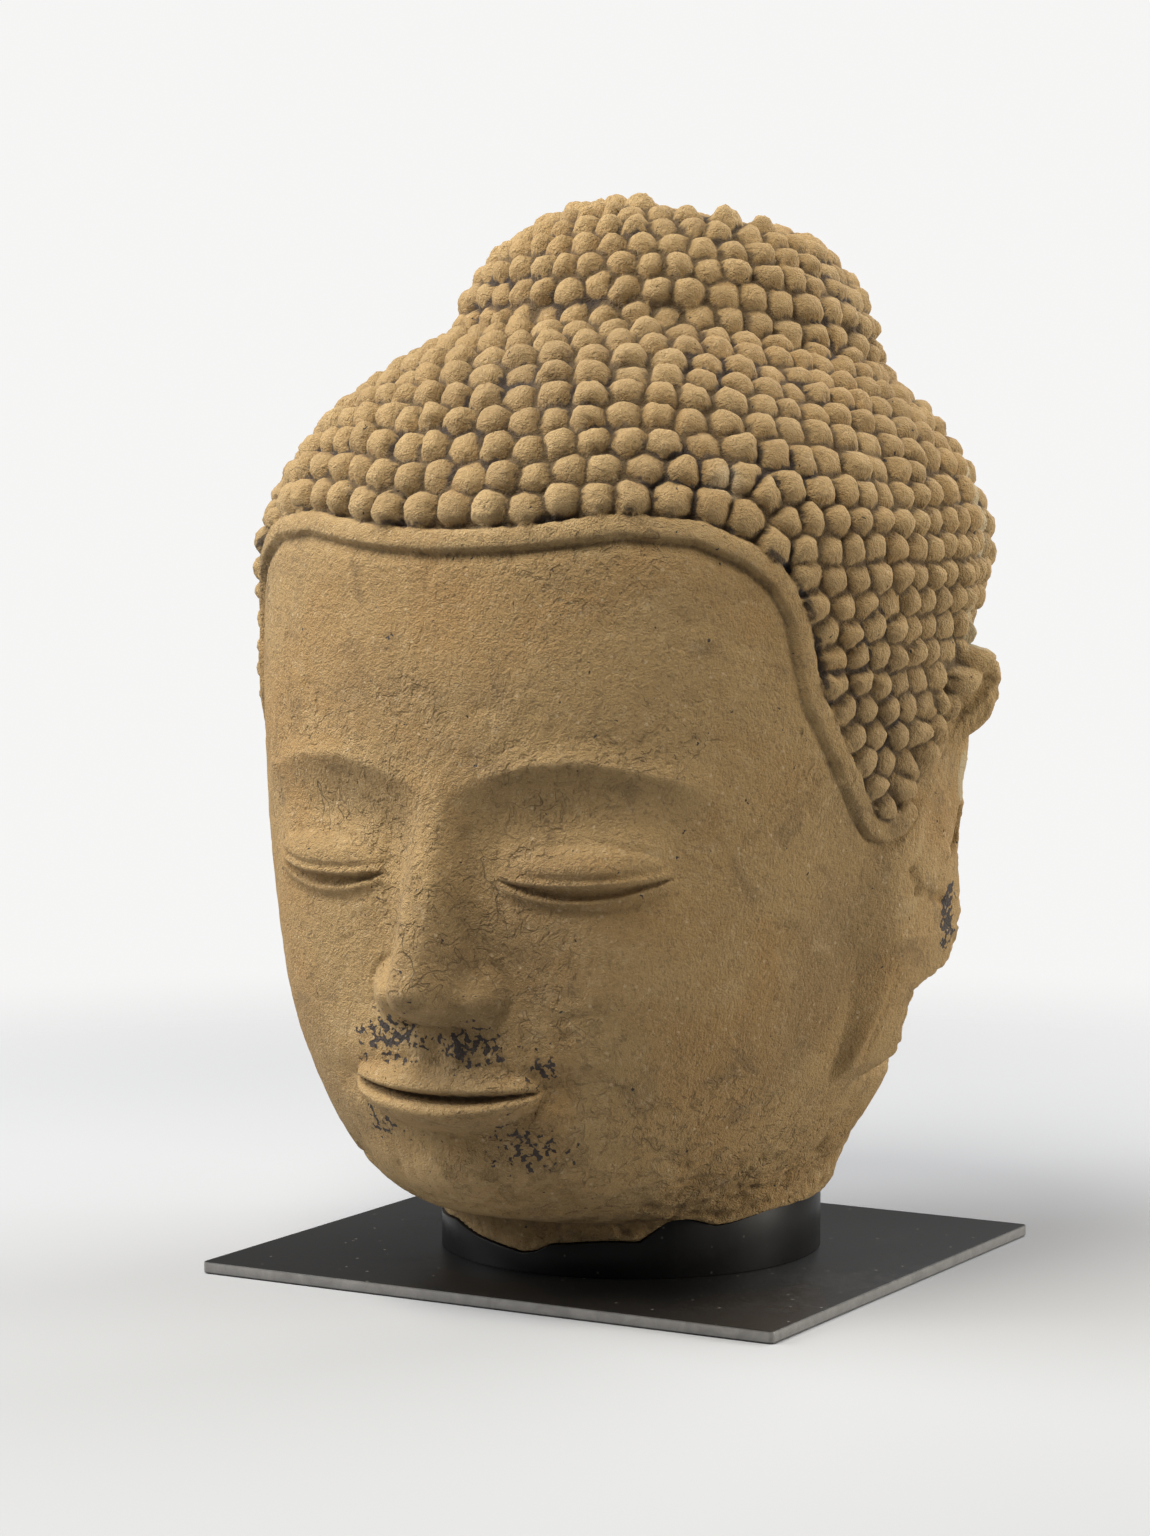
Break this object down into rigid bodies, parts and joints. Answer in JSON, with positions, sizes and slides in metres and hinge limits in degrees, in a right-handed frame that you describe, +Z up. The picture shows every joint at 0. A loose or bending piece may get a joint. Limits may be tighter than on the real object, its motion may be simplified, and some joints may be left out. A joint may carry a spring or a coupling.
{
  "type": "buddha head sculpture",
  "caption": "Broken sandstone head of a Buddha with snail-shell curls and a top knot, standing in a black steel collar on a flat steel plate.",
  "frame": {"origin": "middle of the plate's underside", "axes": "+Z up, the face looks along -Y, +X is the head's own left"},
  "size_m": [0.4344, 0.4648, 0.6031],
  "materials": {
    "sandstone": "worn carved sandstone with traces of dark lacquer",
    "collar_steel": "satin black",
    "plate_steel": "satin black"
  },
  "bodies": {
    "root": {"head": "sandstone", "collar": "collar_steel", "base_plate": "plate_steel"}
  },
  "joints": []
}
